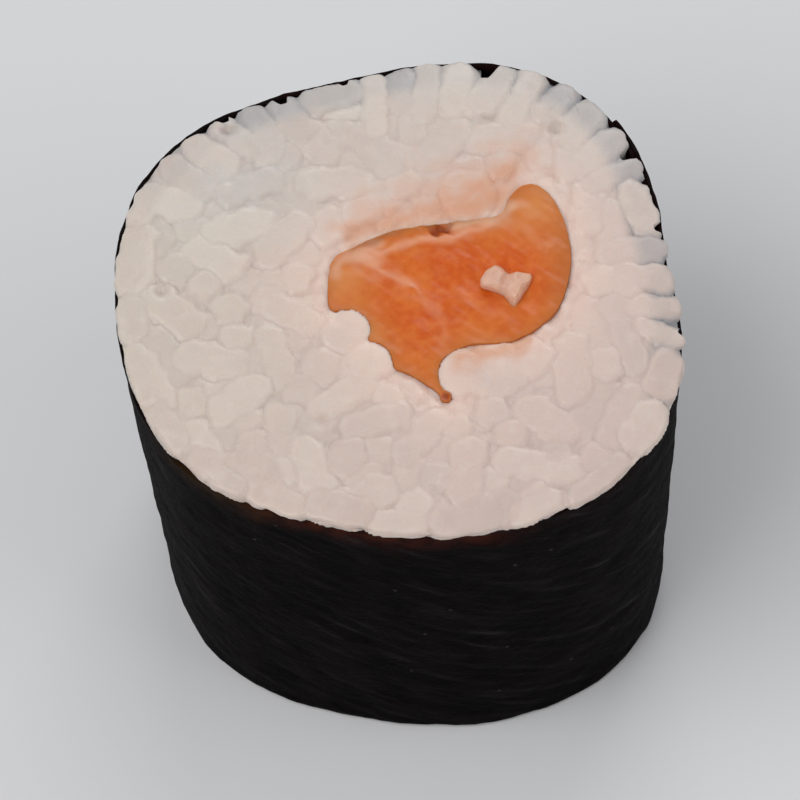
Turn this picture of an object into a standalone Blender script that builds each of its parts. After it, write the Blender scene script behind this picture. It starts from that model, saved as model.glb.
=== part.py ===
"""Salmon maki roll: one piece cut from a rolled sheet of nori, standing on its cut end.

Metres, +Z up. The origin is the centre of the underside, +X is the piece's right and -Y its front.
Three pieces share the roll's axis: a nori sheet that laps over itself, a ring of pressed rice
whose grains show at both cut ends, and a bar of salmon that runs through the rice.
"""

import math
import random

import bmesh
import bpy
from mathutils import Euler, Matrix, Vector

# Driving dimensions
PIECE_HEIGHT = 0.0280  # over the rice, from cut end to cut end
RIM_RADIUS = 0.0161  # mean radius of the upper rice face
SHEET_WIDTH = 0.1050  # the side of a half sheet of nori that goes round the roll
SHEET_THICKNESS = 0.00030  # moist nori
CLEARANCE = 0.0003  # between one piece and the next
TAPER = 0.09  # the roll is narrower by this share at its foot
BEYOND = 0.004  # how far a cutter reaches past what it cuts

# How the roll was pressed: (lobes round the rim, height of a lobe, direction of one lobe in degrees)
PRESSED_LOBES = (
    (1, 0.00030, -34),
    (2, 0.00055, -7),
    (3, 0.00050, -56),
    (4, 0.00055, -37),
    (5, 0.00013, -9),
    (6, 0.00010, -23),
)

# The rice bulges past the nori at the upper rim, most at the front right
RICE_OVERHANG = 0.00024
OVERHANG_SWING = 0.00020
OVERHANG_TOWARDS = math.radians(-50)

# Nori
NORI_FOOT = 0.0003  # the sheet ends this far above the rice's underside
NORI_TOP = PIECE_HEIGHT - 0.0014
NORI_EDGE_WAVE = 0.00010  # unevenness of the sheet's upper edge
LAP_ANGLE = math.radians(22)  # where the inner end of the sheet lies, at the back right
LAP_STEP = SHEET_THICKNESS + 0.00006  # how far the outer end stands off the inner one
LAP_RAMP = math.radians(16)
NORI_COLUMNS = 96
NORI_ROWS = 5
NORI_WAVE = 0.00012  # the sheet follows the grains under it

# Rice
RICE_SECTIONS = 120  # points round the rice
RIM_GRAINS = 24  # grains that show round the rim
SCALLOP_DEPTH = 0.00028  # how far the rim draws in between two of them
RICE_LEVEL = 0.0005  # the mashed rice between the grains lies this far under the cut
RIM_DROP = 0.0004  # the cut ends fall away by this much at the rim
RIM_REACH = 0.0026  # and begin to fall this far inside it
RIM_BULGE = 0.00015  # how far a grain may push out past the rim
GRAIN_LENGTH = 0.0060
GRAIN_WIDTH = 0.0026
GRAIN_THICKNESS = 0.92  # of its width
GRAIN_SIDES = 7
GRAIN_PROFILE = ((-0.74, 0.72), (0.0, 1.0), (0.74, 0.72))  # (place along, half width) of a grain's rings
GRAIN_SPACING = 0.70  # of the grains' widths, so that neighbours press into each other
PACKING_TRIES = 12000
LYING_SHARE = 0.25  # of the tries are for grains that lie along the cut, and the rest stand
GRAIN_RISE = (-0.00004, 0.00026)  # the least and the most that a grain stands past the cut
GRAIN_SEED = 11

# Gaps between grains at the upper rim: (direction in degrees, depth, width)
RIM_NOTCHES = (
    (71, 0.0014, 0.0011),
    (32, 0.0015, 0.0016),
    (118, 0.0009, 0.0010),
    (103, 0.0006, 0.0007),
    (131, 0.0007, 0.0009),
    (16, 0.0007, 0.0007),
    (-9, 0.0006, 0.0006),
    (-69, 0.0004, 0.0007),
    (-98, 0.0004, 0.0006),
)

# Salmon: the bar's outline at the upper cut, in metres from the roll's axis
SALMON_OUTLINE = (
    (-0.0041, 0.0020),
    (-0.0033, 0.0034),
    (0.0004, 0.0045),
    (0.0044, 0.0048),
    (0.0058, 0.0054),
    (0.0065, 0.0070),
    (0.0080, 0.0073),
    (0.0092, 0.0055),
    (0.0097, 0.0024),
    (0.0091, -0.0006),
    (0.0074, -0.0023),
    (0.0040, -0.0031),
    (0.0025, -0.0063),
    (0.0003, -0.0044),
    (-0.0010, -0.0033),
    (-0.0019, -0.0029),
    (-0.0024, -0.0014),
    (-0.0037, -0.0006),
)
# Grains that press into the bar at the upper cut: (x, y, radius)
UPPER_BITES = (
    (-0.0029, -0.0018, 0.00150),
    (-0.0012, -0.0042, 0.00130),
    (0.00355, -0.0049, 0.00120),
    (0.0052, -0.0047, 0.00170),
    (0.0070, -0.0036, 0.00135),
    (0.0038, 0.0063, 0.00150),
)
# The lower cut shows other grains
LOWER_BITES = (
    (-0.0052, 0.0008, 0.00140),
    (-0.0016, -0.0050, 0.00150),
    (0.0056, -0.0050, 0.00180),
    (0.0054, 0.0068, 0.00150),
    (0.0004, 0.0060, 0.00160),
)
BITE_DEPTH = 0.0030  # half the length of a grain that presses in
SALMON_POINTS = 96
CURVE_STEPS = 24  # fine steps between two points of the outline
SALMON_TOP = PIECE_HEIGHT - 0.0003
SALMON_EDGE = 0.97  # the outermost rings draw in to this share
SALMON_TWIST = math.radians(-5)  # from the foot to the top
SALMON_HEIGHTS = (0.0, 0.0002, 0.0015, 0.0028, 0.0140)  # of its rings, from the foot to the middle
SALMON_DEPTHS = (0.0028, 0.0015, 0.0002, 0.0)  # and on from there, under its top

# A broken grain that the knife left on the salmon, and the chip that clings to it
STRAY_PLACE = (0.0059, 0.0012)
STRAY_SIZE = (0.0031, 0.0021, 0.0013)
STRAY_TURN = math.radians(-28)
CHIP_SIZE = (0.0022, 0.0018, 0.0012)
CHIP_TURN = math.radians(80)


def clear_scene():
    for obj in list(bpy.data.objects):
        bpy.data.objects.remove(obj, do_unlink=True)


def make_material(name, colour, roughness):
    material = bpy.data.materials.new(name)
    material.use_nodes = True
    shader = material.node_tree.nodes["Principled BSDF"]
    shader.inputs["Base Color"].default_value = (*colour, 1.0)
    shader.inputs["Roughness"].default_value = roughness
    shader.inputs["Metallic"].default_value = 0.0
    material.diffuse_color = (*colour, 1.0)
    return material


def object_from(bm, name, material=None):
    bmesh.ops.recalc_face_normals(bm, faces=bm.faces)
    mesh = bpy.data.meshes.new(name)
    bm.to_mesh(mesh)
    bm.free()
    mesh.shade_smooth()
    mesh.set_sharp_from_angle(angle=math.radians(50))
    obj = bpy.data.objects.new(name, mesh)
    bpy.context.scene.collection.objects.link(obj)
    if material:
        mesh.materials.append(material)
    return obj


def combine(target, operation, parts):
    """Joins or cuts the target with a set of bodies, which are then removed."""
    collection = bpy.data.collections.new(target.name + "_parts")
    bpy.context.scene.collection.children.link(collection)
    for part in parts:
        bpy.context.scene.collection.objects.unlink(part)
        collection.objects.link(part)
    boolean = target.modifiers.new("combine", "BOOLEAN")
    boolean.operation = operation
    boolean.operand_type = "COLLECTION"
    boolean.collection = collection
    boolean.solver = "EXACT"
    bpy.context.view_layer.update()
    graph = bpy.context.evaluated_depsgraph_get()
    result = bpy.data.meshes.new_from_object(target.evaluated_get(graph))
    target.modifiers.remove(boolean)
    target.data = result
    for part in parts:
        bpy.data.objects.remove(part, do_unlink=True)
    bpy.data.collections.remove(collection)


def smooth_step(value):
    value = min(1.0, max(0.0, value))
    return value * value * (3 - 2 * value)


def loft(rings):
    """A closed skin over rings of equal length, with a flat cap at each end."""
    bm = bmesh.new()
    rows = [[bm.verts.new(point) for point in ring] for ring in rings]
    count = len(rows[0])
    for low, high in zip(rows, rows[1:]):
        for i in range(count):
            j = (i + 1) % count
            bm.faces.new((low[i], low[j], high[j], high[i]))
    bm.faces.new(reversed(rows[0]))
    bm.faces.new(rows[-1])
    return bm


# The pressed roll


def rim_radius(angle):
    """Radius of the upper rice face in this direction."""
    lobes = sum(
        height * math.cos(count * (angle - math.radians(towards)))
        for count, height, towards in PRESSED_LOBES
    )
    return RIM_RADIUS + lobes


def roll_radius(angle, z):
    """Radius of the nori's outer face, which narrows towards the foot."""
    share = 1 - TAPER * (1 - z / PIECE_HEIGHT)
    overhang = RICE_OVERHANG + OVERHANG_SWING * math.cos(angle - OVERHANG_TOWARDS)
    return rim_radius(angle) * share - overhang


def rim_drop(inside):
    """How far a cut end has fallen away at this distance inside its rim."""
    return RIM_DROP * (1 - smooth_step(inside / RIM_REACH))


def polar(radius, angle, z):
    return Vector((radius * math.cos(angle), radius * math.sin(angle), z))


# Nori


def nori_relief(angle, z):
    """The sheet's gentle relief over the rice."""
    return NORI_WAVE * math.sin(11 * angle + 400 * z) * math.sin(5 * angle - 620 * z)


def nori_edge(angle):
    """Height of the sheet's uneven upper edge."""
    return NORI_TOP - NORI_EDGE_WAVE * (1 + math.sin(7 * angle + 1) * math.sin(4 * angle))


def nori_columns(z):
    """(angle, stand-off) along the sheet at this height, from its inner end to its outer end."""
    girth = sum(roll_radius(2 * math.pi * i / 72, z) for i in range(72)) / 72 * 2 * math.pi
    turn = 2 * math.pi * SHEET_WIDTH / girth
    for i in range(NORI_COLUMNS + 1):
        travelled = turn * i / NORI_COLUMNS
        stand_off = LAP_STEP * smooth_step((travelled - 2 * math.pi + LAP_RAMP) / LAP_RAMP)
        yield LAP_ANGLE + travelled, stand_off


def make_nori(material):
    bm = bmesh.new()
    inner, outer = [], []
    for row in range(NORI_ROWS + 1):
        share = row / NORI_ROWS
        inner_row, outer_row = [], []
        for angle, stand_off in nori_columns(NORI_FOOT + (NORI_TOP - NORI_FOOT) * share):
            z = NORI_FOOT + (nori_edge(angle) - NORI_FOOT) * share
            radius = roll_radius(angle, z) + stand_off + nori_relief(angle, z)
            outer_row.append(bm.verts.new(polar(radius, angle, z)))
            inner_row.append(bm.verts.new(polar(radius - SHEET_THICKNESS, angle, z)))
        inner.append(inner_row)
        outer.append(outer_row)
    for row in range(NORI_ROWS):
        for i in range(NORI_COLUMNS):
            bm.faces.new((outer[row][i], outer[row][i + 1], outer[row + 1][i + 1], outer[row + 1][i]))
            bm.faces.new((inner[row][i], inner[row + 1][i], inner[row + 1][i + 1], inner[row][i + 1]))
        for i in (0, NORI_COLUMNS):
            bm.faces.new((outer[row][i], outer[row + 1][i], inner[row + 1][i], inner[row][i]))
    for row in (0, NORI_ROWS):
        for i in range(NORI_COLUMNS):
            bm.faces.new((outer[row][i], outer[row][i + 1], inner[row][i + 1], inner[row][i]))
    return object_from(bm, "nori", material)


# Grains


def grain_skin(place, turn, size, sides=GRAIN_SIDES):
    """One grain of cooked rice: a blunt low body, long along its own X."""
    bm = bmesh.new()
    rows = []
    for along, across in GRAIN_PROFILE:
        angles = (2 * math.pi * i / sides for i in range(sides))
        rows.append([bm.verts.new((along, across * math.cos(a), across * math.sin(a))) for a in angles])
    tips = [bm.verts.new((end, 0, 0)) for end in (-1, 1)]
    for i in range(sides):
        j = (i + 1) % sides
        for low, high in zip(rows, rows[1:]):
            bm.faces.new((low[i], low[j], high[j], high[i]))
        bm.faces.new((tips[0], rows[0][j], rows[0][i]))
        bm.faces.new((tips[1], rows[-1][i], rows[-1][j]))
    stretch = Matrix.Diagonal((size[0] / 2, size[1] / 2, size[2] / 2, 1))
    bm.transform(Matrix.Translation(place) @ turn.to_matrix().to_4x4() @ stretch)
    return bm


def grain_ends(grain):
    """The two ends of a grain's middle line, in the plane of the cut."""
    x, y, yaw, length, width = grain
    reach = Vector((math.cos(yaw), math.sin(yaw))) * max(0.0, length - width) / 2
    return Vector((x, y)) - reach, Vector((x, y)) + reach


def point_gap(point, start, end):
    along = end - start
    share = 0.0 if along.length_squared == 0 else (point - start).dot(along) / along.length_squared
    return (point - start - along * min(1.0, max(0.0, share))).length


def lines_cross(a, b, c, d):
    def side(p, q, r):
        return (q.x - p.x) * (r.y - p.y) - (q.y - p.y) * (r.x - p.x)

    return side(a, b, c) * side(a, b, d) < 0 and side(c, d, a) * side(c, d, b) < 0


def grain_gap(first, second):
    """Distance between the middle lines of two grains."""
    (a, b), (c, d) = grain_ends(first), grain_ends(second)
    if lines_cross(a, b, c, d):
        return 0.0
    return min(point_gap(a, c, d), point_gap(b, c, d), point_gap(c, a, b), point_gap(d, a, b))


def in_ring(point, ring):
    inside = False
    for a, b in zip(ring, ring[1:] + ring[:1]):
        if (a.y > point.y) != (b.y > point.y):
            cross = a.x + (point.y - a.y) / (b.y - a.y) * (b.x - a.x)
            inside ^= point.x < cross
    return inside


def near_salmon(grain, ring):
    """True if the grain would cross the salmon's outline."""
    start, end = grain_ends(grain)
    closest = min(point_gap(point.to_2d(), start, end) for point in ring)
    return closest < grain[4] / 2 or in_ring(start, ring)


def room_inside(point, share):
    """Distance from a point of a cut end to its rim, which is this share of the upper one."""
    return rim_radius(math.atan2(point.y, point.x)) * share - point.length


def inside_rim(grain, share):
    """True if no end of the grain bulges further past the rim than it may."""
    margin = grain[4] / 2 - RIM_BULGE
    return all(room_inside(end, share) > margin for end in grain_ends(grain))


def pack_grains(rng, ring, bites, share):
    """Grains packed over a cut end: (x, y, yaw, length, width), the lying ones first."""
    grains = [(x, y, 0.0, radius * 2, radius * 2) for x, y, radius in bites]
    for attempt in range(PACKING_TRIES):
        lying = attempt < PACKING_TRIES * LYING_SHARE
        width = GRAIN_WIDTH * rng.uniform(0.85, 1.08)
        length = GRAIN_LENGTH * rng.uniform(0.75, 1.0) if lying else width * rng.uniform(1.0, 1.3)
        angle, radius = rng.uniform(0, 2 * math.pi), RIM_RADIUS * math.sqrt(rng.random())
        grain = (radius * math.cos(angle), radius * math.sin(angle), rng.uniform(0, math.pi), length, width)
        if not inside_rim(grain, share) or near_salmon(grain, ring):
            continue
        if all(grain_gap(grain, other) > GRAIN_SPACING * (width + other[4]) / 2 for other in grains):
            grains.append(grain)
    return grains


def grain_objects(z, up, bites, rng):
    """The grains of the cut end at height z, each its own body until they are joined."""
    parts = []
    ring = salmon_ring(z - up * CLEARANCE, CLEARANCE)
    share = 1.0 if up > 0 else 1.0 - TAPER
    for x, y, yaw, length, width in pack_grains(rng, ring, bites, share):
        thick = width * GRAIN_THICKNESS
        sunk = thick / 2 - rng.uniform(*GRAIN_RISE) + rim_drop(room_inside(Vector((x, y)), share))
        turn = Euler((rng.uniform(-math.pi, math.pi), rng.uniform(-0.12, 0.12), yaw))
        grain = grain_skin(Vector((x, y, z - up * sunk)), turn, (length, width, thick))
        parts.append(object_from(grain, "grain"))
    return parts


# Salmon


def even_steps(points, count):
    """Points at even steps along the closed chain of the given ones."""
    pairs = list(zip(points, points[1:] + points[:1]))
    step = sum((after - point).length for point, after in pairs) / count
    found, travelled = [], 0.0
    for point, after in pairs:
        length = (after - point).length
        while len(found) < count and len(found) * step < travelled + length:
            found.append(point.lerp(after, (len(found) * step - travelled) / length))
        travelled += length
    return found


def closed_curve(points, count):
    """Points at even steps along a smooth closed curve through the given ones."""
    total = len(points)
    fine = []
    for step in range(total * CURVE_STEPS):
        i, t = step // CURVE_STEPS, step % CURVE_STEPS / CURVE_STEPS
        a, b, c, d = (Vector(points[(i + k) % total]) for k in (-1, 0, 1, 2))
        fine.append(
            0.5 * (2 * b + (c - a) * t + (2 * a - 5 * b + 4 * c - d) * t * t + (3 * b - a - 3 * c + d) * t**3)
        )
    return even_steps(fine, count)


def press_bite(point, bite, share):
    """Moves a point of the outline out of a grain that presses into the bar."""
    centre = Vector(bite[:2])
    radius = bite[2] * share
    away = point - centre
    if share <= 0 or away.length >= radius:
        return point
    return centre + away.normalized() * radius


def bite_share(z, cut):
    """The grain's width at this height, as a share of its full width."""
    reach = abs(z - cut) / BITE_DEPTH
    return math.sqrt(1 - reach * reach) if reach < 1 else 0.0


def salmon_ring(z, grow=0.0, scale=1.0):
    """The bar's outline at this height, grown outwards by a clearance."""
    outline = closed_curve(SALMON_OUTLINE, SALMON_POINTS)
    middle = sum(outline, Vector((0, 0))) / len(outline)
    pressed = []
    for point in outline:
        for bite in UPPER_BITES:
            point = press_bite(point, bite, bite_share(z, SALMON_TOP))
        for bite in LOWER_BITES:
            point = press_bite(point, bite, bite_share(z, 0.0))
        pressed.append(point)
    twist = Matrix.Rotation(SALMON_TWIST * (z / PIECE_HEIGHT - 1), 2)
    ring = []
    for i, point in enumerate(pressed):
        along = pressed[(i + 1) % len(pressed)] - pressed[i - 1]
        outwards = Vector((-along.y, along.x)).normalized()
        grown = point + outwards * grow
        place = middle + twist @ ((grown - middle) * scale)
        ring.append(Vector((place.x, place.y, z)))
    return ring


def salmon_skin(grow=0.0, reach=0.0):
    """The bar, or with grow and reach the room that the rice leaves for it."""
    heights = SALMON_HEIGHTS + tuple(SALMON_TOP - depth for depth in SALMON_DEPTHS)
    last = len(heights) - 1
    rings = []
    for i, z in enumerate(heights):
        scale = SALMON_EDGE if i in (0, last) and not grow else 1.0
        rings.append(salmon_ring(z, grow, scale))
    for point in rings[0]:
        point.z -= reach
    for point in rings[-1]:
        point.z += reach
    return loft(rings)


def stray_grain_parts():
    x, y = STRAY_PLACE
    length, width, thick = STRAY_SIZE
    place = Vector((x, y, SALMON_TOP + thick * 0.22))
    chip_place = place + Vector((length * 0.30, -width * 0.26, -thick * 0.08))
    grain = grain_skin(place, Euler((0, 0, STRAY_TURN)), STRAY_SIZE, 10)
    chip = grain_skin(chip_place, Euler((0, 0, CHIP_TURN)), CHIP_SIZE, 8)
    return [object_from(grain, "stray_grain"), object_from(chip, "stray_chip")]


def make_salmon(material):
    salmon = object_from(salmon_skin(), "salmon", material)
    combine(salmon, "UNION", stray_grain_parts())
    return salmon


# Rice


def rim_scallop(angle):
    """How far the rim draws in here between the round ends of its uneven grains."""
    uneven = angle + 0.07 * math.sin(5 * angle + 1) + 0.05 * math.sin(3 * angle)
    return SCALLOP_DEPTH * (1 - abs(math.cos(RIM_GRAINS / 2 * uneven)))


def rice_ring(z, inset):
    angles = (2 * math.pi * i / RICE_SECTIONS for i in range(RICE_SECTIONS))
    return [polar(rim_radius(a) - rim_scallop(a) - inset, a, z) for a in angles]


def rice_core():
    """The pressed rice as one lump, without its room for the salmon and the nori."""
    rim_height = PIECE_HEIGHT - RIM_DROP
    rings = [rice_ring(RICE_LEVEL, 0.0), rice_ring(rim_height - 0.0003, 0.0), rice_ring(rim_height, 0.0003)]
    for inset in (0.0012, RIM_REACH):
        sunk = RICE_LEVEL * smooth_step(inset / 0.0015)
        rings.append(rice_ring(PIECE_HEIGHT - sunk - rim_drop(inset), inset))
    return loft(rings)


def nori_room():
    """The space that the nori takes, cut from the rice: a sleeve open to the outside."""
    low, high = -BEYOND, NORI_TOP + CLEARANCE
    depth = SHEET_THICKNESS + NORI_WAVE + CLEARANCE
    walls = []
    bm = bmesh.new()
    for z, outside in ((low, False), (high, False), (high, True), (low, True)):
        ring = []
        for i in range(RICE_SECTIONS):
            angle = 2 * math.pi * i / RICE_SECTIONS
            radius = rim_radius(angle) + BEYOND if outside else roll_radius(angle, max(z, 0.0)) - depth
            ring.append(bm.verts.new(polar(radius, angle, z)))
        walls.append(ring)
    for ring, after in zip(walls, walls[1:] + walls[:1]):
        for i in range(RICE_SECTIONS):
            j = (i + 1) % RICE_SECTIONS
            bm.faces.new((ring[i], ring[j], after[j], after[i]))
    return object_from(bm, "nori_room")


def rim_notch(direction, depth, width):
    """A wedge that parts two grains at the rim, with its point towards the axis."""
    angle = math.radians(direction)
    rim = rim_radius(angle)
    half = width / 2 * (depth + BEYOND) / depth
    spread = math.atan2(half, rim + BEYOND)
    rings = []
    for z in (NORI_TOP, PIECE_HEIGHT + BEYOND):
        corners = [polar(rim + BEYOND, angle + side * spread, z) for side in (-1, 1)]
        rings.append([polar(rim - depth, angle, z)] + corners)
    return object_from(loft(rings), "notch")


def slab(name, low, high):
    bm = bmesh.new()
    middle = Matrix.Translation((0, 0, (low + high) / 2))
    size = Matrix.Diagonal((RIM_RADIUS * 4, RIM_RADIUS * 4, high - low, 1))
    bmesh.ops.create_cube(bm, size=1.0, matrix=middle @ size)
    return object_from(bm, name)


def make_rice(material):
    rng = random.Random(GRAIN_SEED)
    rice = object_from(rice_core(), "rice", material)
    grains = grain_objects(PIECE_HEIGHT, 1, UPPER_BITES, rng) + grain_objects(0.0, -1, LOWER_BITES, rng)
    combine(rice, "UNION", grains)
    cutters = [
        nori_room(),
        object_from(salmon_skin(CLEARANCE, BEYOND), "salmon_room"),
        slab("above_cut", PIECE_HEIGHT, PIECE_HEIGHT + BEYOND),
        slab("below_cut", -BEYOND, 0.0),
    ]
    cutters += [rim_notch(*notch) for notch in RIM_NOTCHES]
    combine(rice, "DIFFERENCE", cutters)
    return rice


def main():
    clear_scene()
    rice_white = make_material("rice_white", (0.74, 0.68, 0.62), 0.50)
    salmon_orange = make_material("salmon_orange", (0.66, 0.19, 0.05), 0.35)
    nori_black = make_material("nori_black", (0.012, 0.011, 0.011), 0.45)
    make_rice(rice_white)
    make_salmon(salmon_orange)
    make_nori(nori_black)


main()
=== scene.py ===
import math
import random

import bmesh
import bpy
import numpy as np
from mathutils import Matrix, Quaternion, Vector


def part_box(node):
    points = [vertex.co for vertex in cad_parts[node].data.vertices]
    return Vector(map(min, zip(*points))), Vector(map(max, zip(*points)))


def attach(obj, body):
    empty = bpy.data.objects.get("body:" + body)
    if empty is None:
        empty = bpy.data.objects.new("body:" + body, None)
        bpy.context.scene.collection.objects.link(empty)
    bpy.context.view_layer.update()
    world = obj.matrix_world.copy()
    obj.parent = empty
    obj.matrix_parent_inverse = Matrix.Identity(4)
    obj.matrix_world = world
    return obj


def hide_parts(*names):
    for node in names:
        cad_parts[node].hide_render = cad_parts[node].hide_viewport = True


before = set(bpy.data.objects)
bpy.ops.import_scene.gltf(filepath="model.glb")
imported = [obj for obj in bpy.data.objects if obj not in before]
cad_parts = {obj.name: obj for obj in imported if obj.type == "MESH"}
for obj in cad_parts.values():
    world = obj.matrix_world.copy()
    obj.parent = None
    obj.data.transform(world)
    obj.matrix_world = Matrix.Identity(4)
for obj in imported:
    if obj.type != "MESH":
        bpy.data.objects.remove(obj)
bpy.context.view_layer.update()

metresPerUnit = 0.001  # all is in millimetres until a piece is finished


# Node trees


class Wire:  # an output socket: Python's own signs add Math nodes to it
    def __init__(self, tree, socket):
        self.tree = tree
        self.socket = socket

    def maths(self, operation, *others):
        return self.tree.maths(operation, self, *others)

    def __add__(self, other):
        return self.maths("ADD", other)

    def __sub__(self, other):
        return self.maths("SUBTRACT", other)

    def __mul__(self, other):
        return self.maths("MULTIPLY", other)

    def __truediv__(self, other):
        return self.maths("DIVIDE", other)

    __radd__ = __add__
    __rmul__ = __mul__

    def __rsub__(self, other):
        return self.tree.maths("SUBTRACT", other, self)

    def __neg__(self):
        return self.maths("MULTIPLY", -1.0)

    def sin(self):
        return self.maths("SINE")

    def cos(self):
        return self.maths("COSINE")

    def between(self, low, high):  # 0 below low, 1 above high, smooth in between
        inputs = {0: self, 1: low, 2: high}
        return self.tree.node("ShaderNodeMapRange", {"interpolation_type": "SMOOTHSTEP"}, inputs)


class Wiring:  # adds nodes to one shader or geometry tree
    def __init__(self, group):
        self.group = group

    def node(self, kind, settings=None, inputs=None, output=0):
        made = self.group.nodes.new(kind)
        for name, value in (settings or {}).items():
            setattr(made, name, value)
        self.feedAll(made, inputs or {})
        return Wire(self, made.outputs[output]) if len(made.outputs) else None

    def feedAll(self, node, values):
        for name, value in values.items():
            self.feed(node.inputs[name], value)

    def feed(self, socket, value):
        values = value if isinstance(value, list) else [value]
        for single in values:
            if isinstance(single, Wire):
                self.group.links.new(single.socket, socket)
            elif socket.type == "RGBA":
                socket.default_value = (*single, 1.0)
            else:
                socket.default_value = single

    def maths(self, operation, *values):
        return self.node("ShaderNodeMath", {"operation": operation}, dict(enumerate(values)))

    def scaled(self, vector, factor):
        return self.node("ShaderNodeVectorMath", {"operation": "SCALE"}, {0: vector, "Scale": factor})

    def joined(self, x, y, z):
        return self.node("ShaderNodeCombineXYZ", None, {0: x, 1: y, 2: z})

    def parted(self, vector):
        return [self.node("ShaderNodeSeparateXYZ", None, {0: vector}, i) for i in range(3)]

    def mix(self, share, first, second):
        settings = {"data_type": "RGBA", "clamp_factor": True}
        return self.node("ShaderNodeMix", settings, {0: share, 6: first, 7: second}, 2)

    def layered(self, colour, layers):  # over the first colour, each layer's colour by its share
        for over, share in layers.values():
            colour = self.mix(share, colour, over)
        return colour

    def attributes(self, *names):
        return [self.node("ShaderNodeAttribute", {"attribute_name": name}, None, "Fac") for name in names]

    def noise(self, vector, scale, detail=2.0, roughness=0.5, output=0):
        inputs = {"Vector": vector, "Scale": scale, "Detail": detail, "Roughness": roughness}
        return self.node("ShaderNodeTexNoise", None, inputs, output)

    def bump(self, height, strength, distance):
        inputs = {"Height": height, "Strength": strength, "Distance": distance}
        return self.node("ShaderNodeBump", None, inputs)


def newGeometryTree(name, sizes):
    group = bpy.data.node_groups.new(name, "GeometryNodeTree")
    for way in ("INPUT", "OUTPUT"):
        group.interface.new_socket("Geometry", in_out=way, socket_type="NodeSocketGeometry")
    kinds = {int: "Int", float: "Float"}  # an object's or material's is named as its type is
    for label, value in sizes.items():
        kind = "NodeSocket" + kinds.get(type(value), type(value).__name__)
        group.interface.new_socket(label, in_out="INPUT", socket_type=kind)
    tree = Wiring(group)
    entry = group.nodes.new("NodeGroupInput")
    return tree, {socket.name: Wire(tree, socket) for socket in entry.outputs if socket.name}


def endTree(tree, geometry, material):
    whole = tree.node("GeometryNodeRealizeInstances", None, {0: geometry})
    finished = tree.node("GeometryNodeSetMaterial", None, {0: whole, "Material": material})
    tree.node("NodeGroupOutput", None, {0: finished})


def modify(obj, kind, **settings):
    modifier = obj.modifiers.new(kind.lower(), kind)
    for name, value in settings.items():
        setattr(modifier, name, value)
    return modifier


def runTree(obj, tree, sizes):
    modifier = modify(obj, "NODES", node_group=tree.group)
    for item in tree.group.interface.items_tree:
        if item.in_out == "INPUT" and item.name in sizes:
            modifier[item.identifier] = sizes[item.name]


def linked(name, data):
    obj = bpy.data.objects.new(name, data)
    bpy.context.scene.collection.objects.link(obj)
    return obj


def discard(*objects):
    for obj in objects:
        bpy.data.objects.remove(obj, do_unlink=True)


def meshOf(obj):  # what its modifiers make of it; the object goes
    bpy.context.view_layer.update()
    graph = bpy.context.evaluated_depsgraph_get()
    mesh = bpy.data.meshes.new_from_object(obj.evaluated_get(graph))
    discard(obj)
    return mesh


def vectorsOf(items, name):
    values = np.zeros(len(items) * 3)
    items.foreach_get(name, values)
    return values.reshape(-1, 3)


def pointsOf(mesh):
    return vectorsOf(mesh.vertices, "co")


def normalsOf(mesh):
    return vectorsOf(mesh.vertex_normals, "vector")


def movePoints(mesh, places):
    mesh.vertices.foreach_set("co", np.ascontiguousarray(places, dtype=np.float32).ravel())
    mesh.update()


def storeShares(mesh, shares):  # as attributes, for the finish to read
    for name, values in shares.items():
        attribute = mesh.attributes.new(name, "FLOAT", "POINT")
        attribute.data.foreach_set("value", np.ascontiguousarray(values, dtype=np.float32))


def trianglesOf(mesh):
    return len(mesh.loops) - 2 * len(mesh.polygons)


def remeshed(mesh, voxel, smoothing):
    obj = linked("remeshing", mesh)
    modify(obj, "REMESH", mode="VOXEL", voxel_size=voxel)
    modify(obj, "SMOOTH", factor=0.5, iterations=smoothing)
    return meshOf(obj)


def thinned(mesh, triangles, freedom):  # fewer faces, mostly where the freedom is 1
    obj = linked("thinning", mesh)
    group = obj.vertex_groups.new(name="freedom")
    for weight in np.unique(freedom):
        group.add(np.flatnonzero(freedom == weight).tolist(), float(weight), "REPLACE")
    ratio = triangles / trianglesOf(mesh)
    modify(obj, "DECIMATE", ratio=ratio, vertex_group="freedom", vertex_group_factor=1000.0)
    return meshOf(obj)


def finishPiece(name, mesh, material, node):
    mesh.transform(Matrix.Scale(metresPerUnit, 4))
    mesh.materials.clear()
    mesh.materials.append(material)
    mesh.shade_smooth()
    piece = linked(name, mesh)
    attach(piece, "root")
    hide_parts(node)
    print(f"{name}: {trianglesOf(mesh)} triangles")


# The pressed roll that all pieces follow

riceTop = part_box("rice")[1][2] / metresPerUnit
noriFoot, noriTop = (corner[2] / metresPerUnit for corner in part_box("nori"))
roll = {
    "height": riceTop, "rimRadius": 16.1,
    "lobes": (  # how many round the rim, height, direction
        (1, 0.3, -34), (2, 0.55, -7), (3, 0.5, -56), (4, 0.55, -37), (5, 0.13, -9), (6, 0.1, -23),
    ),
    "taper": 0.09,  # narrower by this share at the foot
    "overhang": 0.24,  # of the rice past the nori
    "overhangSwing": 0.2, "overhangTowards": math.radians(-50),
    "rimDrop": 0.4,  # the cut ends fall away towards the rim
    "rimReach": 2.6, "edgeRadius": 0.35,
    "sheetTop": noriTop + 0.3,  # a little over the solid's, inside the box
    "sheetRise": 0.35,  # the edge stands higher by this at the back
    "sheetRiseTowards": math.radians(75),
}


def cosine(value):
    return value.cos() if isinstance(value, Wire) else np.cos(value)


def smooth(value):
    value = np.clip(value, 0.0, 1.0)
    return value * value * (3 - 2 * value)


def rimRadius(angle):  # of the upper face; the angle may be a wire
    radius = roll["rimRadius"]
    for count, height, towards in roll["lobes"]:
        radius = radius + height * cosine(count * (angle - math.radians(towards)))
    return radius


def narrowing(z):
    return 1 - roll["taper"] * (1 - z * (1 / roll["height"]))


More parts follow.
